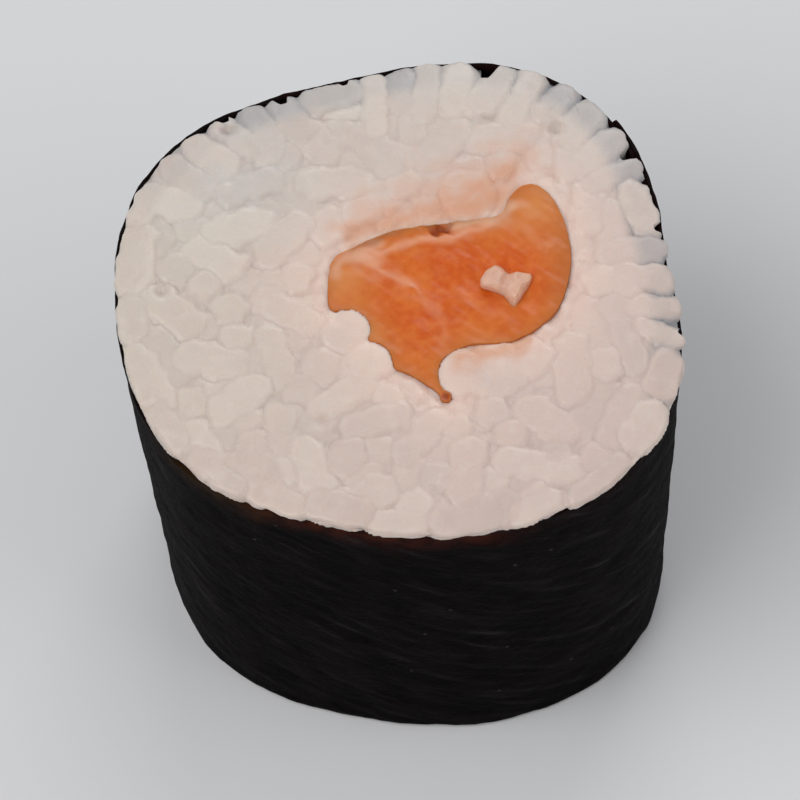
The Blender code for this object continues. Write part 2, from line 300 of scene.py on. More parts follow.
def rollRadius(angle, z):  # of the nori's outer face
    swing = roll["overhangSwing"] * cosine(angle - roll["overhangTowards"])
    return rimRadius(angle) * narrowing(z) - roll["overhang"] - swing


def sheetEdge(angle):  # height of the sheet's upper edge
    return roll["sheetTop"] + roll["sheetRise"] * (0.5 + 0.5 * cosine(angle - roll["sheetRiseTowards"]))


def polar(places):  # direction and distance from the roll's middle
    x, y = places[:, :2].T
    return np.arctan2(y, x), np.hypot(x, y)


def insideRim(places):  # distance from the rim at each point's own height
    angle, radius = polar(places)
    return rimRadius(angle) * narrowing(places[:, 2]) - radius


def rimFall(inside):
    return roll["rimDrop"] * (1 - smooth(inside / roll["rimReach"]))


def edgeFall(inside):  # the quarter round at the very rim
    radius = roll["edgeRadius"]
    short = np.clip(radius - inside, 0, radius)
    return radius - np.sqrt(radius * radius - short * short)


def upperShare(places):  # 0 below the roll's middle, 1 at the upper cut
    middle = roll["height"] / 2
    return smooth((places[:, 2] - middle) / middle)


# Salmon

salmon = {
    "outline": (
        (-3.95, 1.5), (-3.6, 2.4), (-2.6, 3.0), (-0.8, 3.95), (2.3, 4.55), (4.4, 4.7), (5.7, 5.05),
        (6.3, 6.2), (7.0, 6.85), (7.9, 6.8), (9.0, 5.4), (9.7, 2.4), (9.15, -0.6), (8.0, -2.1),
        (6.2, -3.15), (3.8, -3.35), (2.5, -4.3), (2.25, -5.5), (2.5, -6.1), (2.9, -6.4),
        (2.85, -6.85), (2.4, -6.8), (2.1, -6.2), (0.6, -5.1), (-0.2, -4.75), (-0.45, -4.0),
        (-1.0, -3.2), (-1.75, -2.9), (-2.0, -1.5), (-3.85, -0.9),
    ),
    "upperBites": (  # the grains that press into the bar: x, y, radius
        (-2.95, -2.3, 1.35), (-1.6, -4.25, 1.2), (3.6, -5.05, 1.4), (5.5, -5.0, 1.75),
        (7.3, -4.2, 1.3), (3.8, 6.3, 1.5),
    ),
    "lowerBites": (
        (-5.2, 0.8, 1.4), (-1.6, -5.0, 1.5), (5.6, -5.0, 1.8), (5.4, 6.8, 1.5), (0.4, 6.0, 1.6),
    ),
    "biteDepth": 3.0,
    "sunk": 0.3,  # under the cut rice
    "twist": math.radians(-5), "points": 288, "curveSteps": 48,
    "nearCut": (0.0, 0.7, 1.5, 2.2, 2.8),  # the skin's rings, from each cut
    "slice": 0.4,  # height over which the bar's outline counts as one
    "wallReach": 0.25,  # the remeshed wall is this near to the outline
    "voxel": 0.1, "triangles": 120000,
    "cutReach": 0.45,  # what counts as the cut face, and how softly it ends
    "cutBlend": 0.2,
    "relief": ((0.06, 2.6, 21), (0.02, 0.9, 22)),  # size, wave length, seed
    "edge": 0.07,  # the flesh swells a little against the rice
    "edgeReach": 0.2, "fatRise": 0.03, "filmRise": 0.05, "riseLimit": 0.16,
    "rimReach": 1.1,
    "lines": {  # seed, then each line's points, width and strength
        "fat": (3, (
            (((-2.3, 2.4), (-1.7, 2.2), (-1.2, 1.85)), 0.55, 0.95),
            (((-1.7, 2.1), (-1.2, 1.75), (-0.1, 0.95), (0.85, 0.35)), 0.34, 0.7),
            (((0.85, 0.35), (1.6, -0.5), (2.2, -1.4)), 0.3, 0.38),
            (((2.2, -1.4), (2.5, -2.0), (2.6, -2.8)), 0.34, 0.22),
            (((-2.0, 2.3), (-0.9, 2.75), (0.5, 3.3), (1.7, 3.6), (2.9, 3.65), (4.0, 4.05), (5.1, 4.3)),
             0.28, 0.75),
            (((3.4, 0.2), (4.4, -0.9), (6.2, -1.6)), 0.3, 0.18),
            (((6.2, 4.9), (7.4, 4.0), (8.2, 2.6)), 0.34, 0.2),
        )),
        "film": (5, (
            (((-3.7, 1.4), (-3.3, 2.2), (-2.6, 2.6), (-1.2, 3.2)), 0.38, 0.65),
            (((3.0, 4.35), (4.2, 4.45), (5.4, 4.75), (6.4, 5.6)), 0.45, 0.9),
        )),
        "skin": (6, (
            (((-2.7, 2.9), (-1.5, 3.5), (-0.8, 3.85), (0.2, 4.15), (1.1, 4.35), (2.0, 4.4)), 0.22, 1.0),
        )),
    },
    "pale": ((-3.2, 1.0, 1.5), (-1.6, -2.6, 0.8), (7.8, 5.6, 1.9)),  # x, y, radius
    "pit": (2.3, 4.2, 0.42, 0.45),  # x, y, radius, depth
    "pitSqueeze": 0.6,  # it is wider than high
    # tip: x, y and radius of painted shade at the tip of a bite
    "pitWander": (0.14, 0.9, 71), "tip": (2.62, -6.58, 0.3),
}
salmon["top"] = roll["height"] - salmon["sunk"]
salmonHeights = (
    *salmon["nearCut"], roll["height"] / 2, *(salmon["top"] - d for d in reversed(salmon["nearCut"])),
)


def smoothCurve(points, steps):
    points = np.array(points)
    before, after, last = (np.roll(points, k, axis=0) for k in (1, -1, -2))
    pieces = []
    for step in range(steps):
        t = step / steps
        pieces.append(0.5 * (
            2 * points + (after - before) * t
            + (2 * before - 5 * points + 4 * after - last) * t * t
            + (3 * points - before - 3 * after + last) * t**3
        ))
    return np.stack(pieces, axis=1).reshape(-1, 2)


def closedChain(ring):
    return np.vstack((ring, ring[:1]))


def evenSteps(chain, count):  # points at even steps along a closed chain
    whole = closedChain(chain)
    travelled = np.concatenate(((0.0,), np.cumsum(np.linalg.norm(np.diff(whole, axis=0), axis=1))))
    places = np.linspace(0, travelled[-1], count, endpoint=False)
    return np.stack([np.interp(places, travelled, whole[:, k]) for k in (0, 1)], axis=1)


salmonOutline = evenSteps(smoothCurve(salmon["outline"], salmon["curveSteps"]), salmon["points"])
salmonMiddle = salmonOutline.mean(axis=0)


def turned(points, angle):  # about the bar's middle, by one angle or by one for each point
    c, s = np.cos(angle), np.sin(angle)
    x, y = (points - salmonMiddle).T
    return salmonMiddle + np.stack((x * c - y * s, x * s + y * c), axis=1)


def salmonTwist(z):
    return salmon["twist"] * (z / roll["height"] - 1)


def grownRing(ring, grow):  # a ring that runs clockwise, grown outwards
    along = np.roll(ring, -1, axis=0) - np.roll(ring, 1, axis=0)
    outwards = np.stack((-along[:, 1], along[:, 0]), axis=1)
    return ring + outwards / np.linalg.norm(outwards, axis=1)[:, None] * grow


def salmonRing(z, grow=0.0):  # the bar's outline at this height, grown outwards
    ring = salmonOutline.copy()
    for bites, cut in ((salmon["upperBites"], salmon["top"]), (salmon["lowerBites"], 0.0)):
        reach = abs(z - cut) / salmon["biteDepth"]
        share = math.sqrt(1 - reach * reach) if reach < 1 else 0.0
        for x, y, radius in bites:
            away = ring - (x, y)
            distance = np.linalg.norm(away, axis=1)
            pressed = distance < radius * share
            ring[pressed] = (x, y) + away[pressed] / distance[pressed, None] * radius * share
    return turned(grownRing(ring, grow), salmonTwist(z))


def loft(rings):  # a closed skin over rings of (x, y, z) points
    bm = bmesh.new()
    rows = [[bm.verts.new(point) for point in ring] for ring in rings]
    count = len(rows[0])
    for low, high in zip(rows, rows[1:]):
        for i in range(count):
            j = (i + 1) % count
            bm.faces.new((low[i], low[j], high[j], high[i]))
    bm.faces.new(reversed(rows[0]))
    bm.faces.new(rows[-1])
    bmesh.ops.recalc_face_normals(bm, faces=bm.faces)
    mesh = bpy.data.meshes.new("loft")
    bm.to_mesh(mesh)
    bm.free()
    return mesh


def salmonSkin(grow=0.0, reach=0.0):
    rings = []
    for z in salmonHeights:
        shift = -reach if z == 0 else reach if z == salmon["top"] else 0.0
        rings.append([(x, y, z + shift) for x, y in salmonRing(z, grow)])
    return loft(rings)


def nearestOnLine(points, line):  # distance to a chain of points, and the nearest place on it
    closest, foot = np.full(len(points), 1e9), points.copy()
    for start, end in zip(line, line[1:]):
        start, along = np.array(start), np.subtract(end, start)
        share = np.clip((points - start) @ along / (along @ along), 0, 1)
        there = start + share[:, None] * along
        distance = np.linalg.norm(points - there, axis=1)
        closer = distance < closest
        closest[closer] = distance[closer]
        foot[closer] = there[closer]
    return closest, foot


def outsideRing(points, ring):  # distance to the ring, negative inside it
    closest = nearestOnLine(points, closedChain(ring))[0]
    x, y = points.T
    inside = np.zeros(len(points), bool)
    for (ax, ay), (bx, by) in zip(ring, np.roll(ring, -1, axis=0)):
        if ay != by:
            inside ^= ((ay > y) != (by > y)) & (x < ax + (y - ay) / (by - ay) * (bx - ax))
    return np.where(inside, -closest, closest)


def barSlices(places, reach):  # the rows of the points near the bar, and the height, of each slice
    low, high = salmonOutline.min(axis=0) - reach, salmonOutline.max(axis=0) + reach
    near = ((places[:, :2] > low) & (places[:, :2] < high)).all(axis=1)
    slices = np.round(places[:, 2] / salmon["slice"])
    for number in np.unique(slices[near]):
        height = float(np.clip(number * salmon["slice"], 0, salmon["top"]))
        yield np.flatnonzero(near & (slices == number)), height


def outsideSalmon(places, reach=3.0):  # distance to the bar, up to the reach
    found = np.full(len(places), reach)
    for rows, height in barSlices(places, reach):
        ring = salmonRing(height)[::2]
        found[rows] = np.minimum(reach, outsideRing(places[rows, :2], ring))
    return found


def untwisted(places):  # where each point lies in the bar's upper cut
    return turned(places[:, :2], -salmonTwist(places[:, 2]))


def waves(places, length, seed, count=9):  # smooth seeded unevenness, about -1 to 1
    rng = np.random.default_rng(seed)
    total = np.zeros(len(places))
    for _ in range(count):
        direction = rng.normal(size=places.shape[1])
        direction *= 2 * math.pi / length * rng.uniform(0.6, 1.5) / np.linalg.norm(direction)
        total += np.sin(places @ direction + rng.uniform(0, 2 * math.pi))
    return total / math.sqrt(count)


def wavy(places, parts):  # waves of each size, length and seed, one on the other
    return sum(size * waves(places, length, seed) for size, length, seed in parts)


def wander(flat, size, length, seed, count=6):  # how far each point is pushed aside, in x and y
    return size * np.stack([waves(flat, length, seed + k, count) for k in (0, 1)], axis=1)


drawnLine = {"wander": (0.1, 2.2), "swell": (0.35, 1.5), "waves": 5}  # size and wave length


def lineShare(flat, seed, lines):  # 1 on a line and 0 beside it; the lines wander and swell
    share = np.zeros(len(flat))
    bent = flat + wander(flat, *drawnLine["wander"], seed, drawnLine["waves"])
    size, length = drawnLine["swell"]
    swell = 1 + size * waves(flat, length, seed + 2, drawnLine["waves"])
    for line, width, strength in lines:
        aside = nearestOnLine(bent, line)[0] / (width * swell)
        share = np.maximum(share, strength * np.exp(-(aside**2)))
    return share


def salmonLines(flat):  # the shares of fat, film and skin
    return [lineShare(flat, *lines) for lines in salmon["lines"].values()]


def fitToRing(places, normals, grow, out):  # nothing stays on its wrong side
    for rows, height in barSlices(places, 1.0):
        ring, points = salmonRing(height, grow), places[rows, :2]
        distance, foot = nearestOnLine(points, closedChain(ring))
        wrong = outsideRing(points, ring) * out < 0
        wall = (distance < salmon["wallReach"]) & (abs(normals[rows, 2]) < 0.75)
        places[rows[wrong | wall], :2] = foot[wrong | wall]
    return places


def spot(points, x, y, radius):
    return np.exp(-((points - (x, y)) ** 2).sum(axis=1) / radius**2)


def pitShare(flat):  # 1 in the dark pit at the bar's upper edge
    x, y, radius, _ = salmon["pit"]
    squeeze = salmon["pitSqueeze"]
    bent = flat + wander(flat, *salmon["pitWander"])
    return spot(bent * (squeeze, 1.0), x * squeeze, y, radius)


def makeSalmon(material):
    mesh = remeshed(salmonSkin(), salmon["voxel"], 2)
    places, normals = pointsOf(mesh), normalsOf(mesh)
    outside, flat = outsideSalmon(places), untwisted(places)
    fat, film, _ = salmonLines(flat)
    pit = pitShare(flat) * salmon["pit"][3]
    for end, up in ((salmon["top"], 1), (0.0, -1)):
        fall = -salmon["edge"] * np.exp(outside / salmon["edgeReach"])
        fall = fall - salmon["fatRise"] * fat - salmon["filmRise"] * film + pit * (up > 0)
        fall -= wavy(flat, salmon["relief"])
        level = end - up * np.maximum(-salmon["riseLimit"] * (up > 0), fall)
        cut = smooth((salmon["cutReach"] - abs(places[:, 2] - end)) / salmon["cutBlend"])
        cut *= smooth(up * normals[:, 2] * 4 - 0.4)
        places[:, 2] += (level - places[:, 2]) * cut
    movePoints(mesh, fitToRing(places, normals, 0.0, -1))
    middle = roll["height"] / 2
    hidden = smooth((middle - 1.0 - abs(places[:, 2] - middle)) / 1.5)
    mesh = thinned(mesh, salmon["triangles"], np.round(hidden, 1))
    places = pointsOf(mesh)
    outside, flat, upper = outsideSalmon(places), untwisted(places), upperShare(places)
    fat, film, skin = salmonLines(flat)
    storeShares(mesh, {
        "fat": fat,
        "film": film * (0.4 + 0.6 * upper),
        "skin": skin * upper,
        "pale": np.max([spot(flat, *pale) for pale in salmon["pale"]], axis=0),
        "rim": np.exp(outside / salmon["rimReach"]),
        # painted shade: darker where the flesh meets the rice
        "edge": np.exp(outside / salmon["edgeReach"]),
        # painted shade in the pit and at the bite's tip
        "pitAndTipPaintedShade": np.maximum(pitShare(flat), spot(flat, *salmon["tip"])) * upper,
    })
    finishPiece("salmonBar", mesh, material, "salmon")


# Rice

grains = {
    "length": 6.0, "width": 2.6,
    "thickness": 0.92,  # of the width
    "widths": (0.85, 1.08),  # of the usual width
    "lyingLengths": (0.75, 1.0),  # of the usual length
    "standingLengths": (1.0, 1.3),  # of its own width, as only its end shows
    "lean": 0.12, "fishGap": 0.3,
    "packing": (0.7, 12000, 0.25),  # spacing by the neighbours' widths, tries, share of lying grains
    "filling": (0.45, 5000, 0.5), "seed": 11,
    "bulge": 0.15,  # past the rim
    "rise": (-0.04, 0.26),  # past the cut
    "fillSeed": 5,
    "levels": {  # of the flat tops, under the cut
        "bite": (0.0, 0.02), "main": (0.0, 0.06), "fill": (0.07, 0.16), "rim": (-0.06, 0.02),
    },
    "biteReach": 0.35,  # the grains that press into the fish are full up to it
}
rimRow = {
    "radialFrom": 345, "radialTo": 150,  # from here round to there, most grains point outwards
    "radialShare": 0.85,
    "widths": (0.65, 0.95), "lengths": (0.55, 0.85),  # of the usual grain
    "halfStep": 0.47,  # of a grain's size along the rim
    "shift": (-0.12, 0.05), "rise": (0.0, 0.15), "swing": 0.2,
}
rice = {
    "coreLevel": 0.25,  # of the mashed rice between the grains, under the cut
    "voxel": 0.12, "triangles": 190000,
    "shoulder": 0.6,  # width of the round edge of a cut grain
    "shoulderFall": 0.4,
    "blend": 0.03,  # how softly one grain gives way to the next
    "mash": 0.23,  # the starch between the grains lies this far down
    "rimMash": 0.4,  # and this much lower at the open rim
    "openRim": math.radians(60),  # the middle of the rim that shows its grains' ends
    "openReach": 2.6,
    "crease": 0.03,  # between two grains that are pressed together
    "creaseWidth": 0.16,
    "creaseShare": 0.6,  # of that width, over which it fades
    "grooveDepth": 0.3,
    "cutReach": 3.2,  # the points this near to a cut take its form
    "fishDip": 0.18,  # the rice dips beside the fish
    "fishDipReach": 0.9,
    "relief": ((0.05, 7.0, 31), (0.015, 1.2, 32)),  # size, wave length, seed
    "gap": 0.3, "channelGap": 0.01,
    "notchFoot": 1.9,  # how far the notches reach below the sheet's edge
    "notches": (  # direction, depth, width
        (71, 1.4, 1.1), (34.5, 1.2, 1.0), (118, 0.9, 1.0), (103, 0.6, 0.7), (131, 0.7, 0.9),
        (16, 0.7, 0.7), (-9, 0.6, 0.6), (-69, 0.4, 0.7), (-98, 0.4, 0.6),
    ),
    "pits": (  # x, y, radius, depth
        (-13.4, 0.4, 0.35, 0.5), (8.9, 10.6, 0.4, 0.6), (-9.8, 10.9, 0.4, 0.6),
        (2.1, -12.5, 0.35, 0.25), (-4.2, -8.0, 0.35, 0.3), (7.5, -9.7, 0.3, 0.2),
    ),
    "stains": (9, (  # fish oil: seed, then each line's points, width and strength
        (((-2.6, 4.0), (-0.6, 4.7), (1.4, 5.2), (3.0, 5.9), (4.6, 6.6), (6.2, 7.7)), 0.85, 0.9),
        (((-1.6, 5.0), (0.6, 6.0), (2.6, 6.9), (4.8, 7.9), (6.8, 8.5)), 1.3, 0.4),
        (((3.0, 5.2), (4.2, 5.5), (5.4, 6.2)), 1.0, 1.0),
        (((3.4, -4.2), (5.4, -3.7), (7.2, -3.1)), 0.7, 0.85),
    )),
}


def grainEnds(x, y, yaw, length, width):
    reach = np.array((math.cos(yaw), math.sin(yaw))) * max(0.0, length - width) / 2
    middle = np.array((x, y))
    return middle - reach, middle + reach


def pointGaps(point, starts, ends):  # from one point to each line, or from each point to one
    along = ends - starts
    square = np.maximum((along * along).sum(axis=-1), 1e-12)
    share = np.clip(((point - starts) * along).sum(axis=-1) / square, 0, 1)
    return np.linalg.norm(point - starts - share[..., None] * along, axis=-1)


def side(p, q, r):  # of the line from p to q, on which r lies
    along, across = q - p, r - p
    return along[..., 0] * across[..., 1] - along[..., 1] * across[..., 0]


def grainGaps(start, end, starts, ends):  # between one grain's middle line and each of the others'
    tips = (start, starts, ends), (end, starts, ends), (starts, start, end), (ends, start, end)
    crossing = (side(start, end, starts) * side(start, end, ends) < 0) & (
        side(starts, ends, start) * side(starts, ends, end) < 0
    )
    return np.where(crossing, 0.0, np.min([pointGaps(*tip) for tip in tips], axis=0))


def packGrains(rng, ring, placed, share, spacing, tries, lyingShare):
    found = list(placed)
    shapes = [(*grainEnds(*grain), grain[4]) for grain in found]
    starts, ends, widths = (list(part) for part in zip(*shapes))
    for attempt in range(tries):
        width = grains["width"] * rng.uniform(*grains["widths"])
        if attempt < tries * lyingShare:
            length = grains["length"] * rng.uniform(*grains["lyingLengths"])
        else:
            length = width * rng.uniform(*grains["standingLengths"])
        angle, radius = rng.uniform(0, 2 * math.pi), roll["rimRadius"] * math.sqrt(rng.random())
        yaw = rng.uniform(0, math.pi)
        grain = (radius * math.cos(angle), radius * math.sin(angle), yaw, length, width)
        start, end = grainEnds(*grain)
        room = min(rimRadius(math.atan2(y, x)) * share - math.hypot(x, y) for x, y in (start, end))
        if room <= width / 2 - grains["bulge"]:
            continue
        gaps = grainGaps(start, end, np.array(starts), np.array(ends))
        if not (gaps > spacing * (width + np.array(widths)) / 2).all():
            continue
        if pointGaps(ring, start, end).min() < width / 2 or outsideRing(start[None], ring)[0] < 0:
            continue
        found.append(grain)
        starts.append(start)
        ends.append(end)
        widths.append(width)
    return found[len(placed):]


def cutGrains(z, up, bites, rng, fillRng):  # the place, turn, size and kind of each grain of the cut
    ring = salmonRing(min(z, salmon["top"]), grains["fishGap"])[::3]
    bitten = [(x, y, 0.0, radius * 2, radius * 2) for x, y, radius in bites]
    share = narrowing(z)
    packed = packGrains(rng, ring, bitten, share, *grains["packing"])
    fill = packGrains(fillRng, ring, bitten + packed, share, *grains["filling"])
    kinds = ["bite"] * len(bitten) + ["main"] * len(packed) + ["fill"] * len(fill)
    shown = []
    for (x, y, yaw, length, width), kind in zip(bitten + packed + fill, kinds):
        thick = width * grains["thickness"]
        inside = rimRadius(math.atan2(y, x)) * share - math.hypot(x, y)
        sunk = thick / 2 - rng.uniform(*grains["rise"]) + rimFall(inside)
        turn = (rng.uniform(-math.pi, math.pi), rng.uniform(-grains["lean"], grains["lean"]), yaw)
        shown.append(((x, y, z - up * sunk), turn, (length, width, thick), kind))
    return shown


def rimGrains(rng):  # the same of the grains that make the upper rim
    found, angle = [], 0.0
    while angle < 2 * math.pi - 0.08:
        towards = math.degrees(angle)
        opened = towards < rimRow["radialTo"] or towards > rimRow["radialFrom"]
        radial = opened and rng.random() < rimRow["radialShare"]
        width = grains["width"] * rng.uniform(*rimRow["widths"])
        length = grains["length"] * rng.uniform(*rimRow["lengths"])
        half = rimRow["halfStep"] * (width if radial else length) / roll["rimRadius"]
        middle = angle + half
        radius = rimRadius(middle) - (length if radial else width) / 2 + rng.uniform(*rimRow["shift"])
        thick = width * grains["thickness"]
        height = roll["height"] - roll["rimDrop"] * 0.8 - thick / 2 + rng.uniform(*rimRow["rise"])
        swing = rimRow["swing"]
        yaw = middle + rng.uniform(-swing, swing) if radial else middle + math.pi / 2
        place = (radius * math.cos(middle), radius * math.sin(middle), height)
        found.append((place, (rng.uniform(-math.pi, math.pi), 0.0, yaw), (length, width, thick), "rim"))
        angle += 2 * half
    return found


def grainForm():  # one cooked grain, about 2 long and wide: blunt, a little bent
    rings = []
    for along in np.sin(np.linspace(-1.35, 1.35, 9)):
        across = (1 - abs(along) ** 2.6) ** 0.5
        lift = 0.1 * (1 - along * along)
        angles = np.linspace(0, 2 * math.pi, 14, endpoint=False)
        rings.append([(along, across * math.cos(a) + lift, across * math.sin(a)) for a in angles])
    return loft(rings)


def riceCore():  # the rice below the grains that show, with a channel for the fish
    angles = np.linspace(0, 2 * math.pi, 180, endpoint=False)
    level, height, gap = rice["coreLevel"], roll["height"], rice["gap"]
    rings = []  # the height and radius of each
    for inset in (3.0, 1.2, 0.5):
        rings.append((level + rimFall(inset), rollRadius(angles, 0.0) - gap - inset + 0.3))
    for z in (2.0, roll["sheetTop"]):
        rings.append((z, rollRadius(angles, z) - gap))
    for inset in (0.3, 0.9, 3.0):
        rings.append((height - level - rimFall(inset), rimRadius(angles) - inset))
    x, y = np.cos(angles), np.sin(angles)
    skin = [np.stack((x * radius, y * radius, np.full(len(x), z)), axis=1) for z, radius in rings]
    core = linked("core", loft(skin))
    room = linked("room", salmonSkin(rice["channelGap"], 2.0))
    modify(core, "BOOLEAN", operation="DIFFERENCE", object=room, solver="EXACT")
    mesh = meshOf(core)
    discard(room)
    return mesh


def fusedGrains(shown, material):
    places, turns, sizes = (np.array(part) for part in list(zip(*shown))[:3])
    points = bpy.data.meshes.new("grainPlaces")
    points.from_pydata(places.tolist(), [], [])
    for name, values in (("turn", turns), ("size", sizes / 2)):
        attribute = points.attributes.new(name, "FLOAT_VECTOR", "POINT")
        attribute.data.foreach_set("vector", values.astype(np.float32).ravel())
    form, core = linked("grainForm", grainForm()), linked("riceCore", riceCore())
    inputs = {"Grain": form, "Core": core, "Unevenness": 0.16, "Material": material}
    tree, given = newGeometryTree("pressedGrains", inputs)
    cloud = tree.node("GeometryNodeMeshToPoints", None, {0: given["Geometry"]})
    grain = tree.node("GeometryNodeObjectInfo", None, {0: given["Grain"]}, "Geometry")
    kind, settings = "GeometryNodeInputNamedAttribute", {"data_type": "FLOAT_VECTOR"}
    turn, size = (tree.node(kind, settings, {"Name": name}) for name in ("turn", "size"))
    rotation = tree.node("FunctionNodeEulerToRotation", None, {0: turn})
    laid = {"Points": cloud, "Instance": grain, "Rotation": rotation, "Scale": size}
    lying = tree.node("GeometryNodeInstanceOnPoints", None, laid)
    real = tree.node("GeometryNodeRealizeInstances", None, {0: lying})
    bumps = tree.noise(tree.node("GeometryNodeInputPosition"), 0.7, 1.0, output="Color")
    centred = {0: bumps, 1: (0.5, 0.5, 0.5)}
    bumps = tree.node("ShaderNodeVectorMath", {"operation": "SUBTRACT"}, centred)
    push = tree.scaled(bumps, given["Unevenness"] * 2)
    uneven = tree.node("GeometryNodeSetPosition", None, {"Geometry": real, "Offset": push})
    body = tree.node("GeometryNodeObjectInfo", None, {0: given["Core"]}, "Geometry")
    whole = tree.node("GeometryNodeJoinGeometry", None, {0: [uneven, body]})
    endTree(tree, whole, given["Material"])
    heap = linked("heap", points)
    runTree(heap, tree, inputs)
    mesh = meshOf(heap)
    discard(form, core)
    return mesh


def softLimit(value, limit, rounding):  # value, brought smoothly under the limit
    under = limit - value
    return limit - (under + np.sqrt(under * under + 4 * rounding * rounding)) / 2


def openRim(places):  # 1 at the rim where the grains' ends show, 0 elsewhere
    facing = smooth((np.cos(polar(places)[0] - rice["openRim"]) + 0.1) / 0.5)
    return facing * smooth((rice["openReach"] - insideRim(places)) / 1.2)


def roundedEdge(gap):  # how far a cut grain falls away; the gap is negative inside it
    share = (1 + gap / rice["shoulder"]).clip(0, 1)
    return rice["shoulderFall"] * (1 - np.sqrt(1 - share * share)) + 2 * gap.clip(0)


def grooveShare(relief):
    return (relief / rice["grooveDepth"]).clip(0, 1)


def grainField(places, shown):  # the fall, tone and crease that the grains give each point of a cut
    flat = places[:, :2]
    points = flat + wander(flat, 0.09, 2.0, 51) + wander(flat, 0.04, 0.8, 55)
    opened = openRim(places)
    rng = np.random.default_rng(7)
    mash = rice["mash"] + 0.05 * waves(points, 1.0, 53) + rice["rimMash"] * opened
    weight = np.exp(-mash / rice["blend"])
    falls, tones = weight * mash, weight * 0.5
    first, second = np.full((2, len(points)), 1e9)
    order = np.argsort(points[:, 0])
    for (x, y, _), (_, _, yaw), (length, width, _), kind in shown:
        level, tone = rng.uniform(*grains["levels"][kind]), rng.uniform()
        reach = length / 2 + 1.0
        low, high = np.searchsorted(points[order, 0], (x - reach, x + reach))
        rows = order[low:high]
        gap = pointGaps(points[rows], *grainEnds(x, y, yaw, length, width)) - width / 2
        gap -= grains["biteReach"] * (kind == "bite")
        fall = level + roundedEdge(gap) + (0.0 if kind == "rim" else 0.35) * opened[rows]
        share = np.exp(-fall / rice["blend"])
        weight[rows] += share
        falls[rows] += share * fall
        tones[rows] += share * tone
        second[rows] = np.where(fall < first[rows], first[rows], np.minimum(second[rows], fall))
        first[rows] = np.minimum(first[rows], fall)
    closed = smooth(0.45 + 0.45 * waves(flat, 2.4, 61))
    between = (second - first).clip(0, 9) / rice["creaseWidth"] / rice["creaseShare"]
    return falls / weight, tones / weight, closed * np.exp(-(between**2))


def rimLimit(here, groove):  # how far out the rice reaches, near the upper cut
    angle, radius = polar(here)
    aboveSheet = here[:, 2] - sheetEdge(angle)
    lip = smooth((aboveSheet + 0.1) / 0.4)
    limit = rimRadius(angle) - (0.34 * groove + 0.08 + 0.08 * waves(here, 1.4, 35)) * lip
    low = smooth((aboveSheet + rice["notchFoot"]) / 0.5)
    for direction, depth, width in rice["notches"]:
        aside = (angle - math.radians(direction) + math.pi) % (2 * math.pi) - math.pi
        notch = smooth(1.3 * (1 - abs(aside) * radius / (width / 2 + 0.15)))
        limit = np.minimum(limit, rimRadius(angle) + 0.1 - (depth + 0.1) * notch * low)
    return limit


def drawnIn(places, limit, rounding):  # the factor that brings each point's distance under the limit
    radius = polar(places)[1]
    return (softLimit(radius, limit, rounding) / radius)[:, None]


def pressRice(places, normals, ends):
    for up, cut, shown in ends:
        rows = np.flatnonzero(abs(places[:, 2] - cut) < rice["cutReach"])
        here = places[rows]
        flat, inside, outside = here[:, :2], insideRim(here), outsideSalmon(here)
        relief, _, crease = grainField(here, shown)
        fall = rimFall(inside.clip(0)) + edgeFall(inside)
        fall += rice["fishDip"] * np.exp(-outside.clip(0) / rice["fishDipReach"])
        fall += relief + rice["crease"] * crease
        fall += wavy(flat, rice["relief"])
        if up > 0:
            fall += sum(depth * spot(flat, x, y, radius) for x, y, radius, depth in rice["pits"])
            places[rows, :2] *= drawnIn(here, rimLimit(here, grooveShare(relief)), 0.04)
        under = up * (cut - here[:, 2]) - fall.clip(0)
        top = smooth((1.7 - under) / 0.5) * smooth(up * normals[rows, 2] * 1.6 - 0.2)
        places[rows, 2] = cut - up * (fall.clip(0) - softLimit(-under * (1 - top), 0, 0.02))
    angle, z = polar(places)[0], places[:, 2]
    wall = rollRadius(angle, np.clip(z, 0, roll["height"])) - rice["gap"]
    lip = smooth((z - sheetEdge(angle) + 0.05) / 0.35)
    places[:, :2] *= drawnIn(places, wall + (rimRadius(angle) + 0.02 - wall) * lip, 0.03)
    return places


def makeRice(material):
    rng, fillRng = random.Random(grains["seed"]), random.Random(grains["fillSeed"])
    upper = cutGrains(roll["height"], 1, salmon["upperBites"], rng, fillRng)
    rim = rimGrains(fillRng)
    lower = cutGrains(0.0, -1, salmon["lowerBites"], rng, fillRng)
    ends = ((1, roll["height"], upper + rim), (-1, 0.0, lower))
    print(f"rice: {len(upper + rim)} grains at the upper cut, {len(lower)} at the lower")
    mesh = remeshed(fusedGrains(upper + rim + lower, material), rice["voxel"], 2)
    places, normals = pointsOf(mesh), normalsOf(mesh)
    places = fitToRing(pressRice(places, normals, ends), normals, rice["channelGap"], 1)
    movePoints(mesh, places)
    depth = np.minimum(roll["height"] - places[:, 2], places[:, 2] + 1.0)
    freedom = np.where(places[:, 2] < 2.0, 0.5, np.where(depth > 2.0, 1.0, 0.0))
    mesh = thinned(mesh, rice["triangles"], freedom)
    places = pointsOf(mesh)
    groove, crease, shade = np.zeros((3, len(places)))
    for _, cut, shown in ends:
        rows = np.flatnonzero(abs(places[:, 2] - cut) < roll["height"] / 2)
        relief, shade[rows], crease[rows] = grainField(places[rows], shown)
        groove[rows] = grooveShare(relief)
    storeShares(mesh, {
        "groove": groove, "crease": crease, "grainShade": shade, "rim": openRim(places),
        # painted light: the fish's orange light bounced onto the rice beside it
        "fishBounceLight": np.exp(-np.maximum(0, outsideSalmon(places, 6.0)) / 2.2),
        "stain": lineShare(untwisted(places), *rice["stains"]) * upperShare(places),
    })
    finishPiece("pressedRice", mesh, material, "rice")


# Nori

nori = {
    "Sheet width": 105.0, "Thickness": 0.22, "Foot": noriFoot, "Top": roll["sheetTop"],
    "Columns": 500, "Rows": 84, "Lap angle": math.radians(22),
    "Lap ramp": math.radians(16), "Lap step": 0.26, "Rice bumps": 0.15,
    "Wrinkles": 0.13, "Ragged edge": 0.26,
}


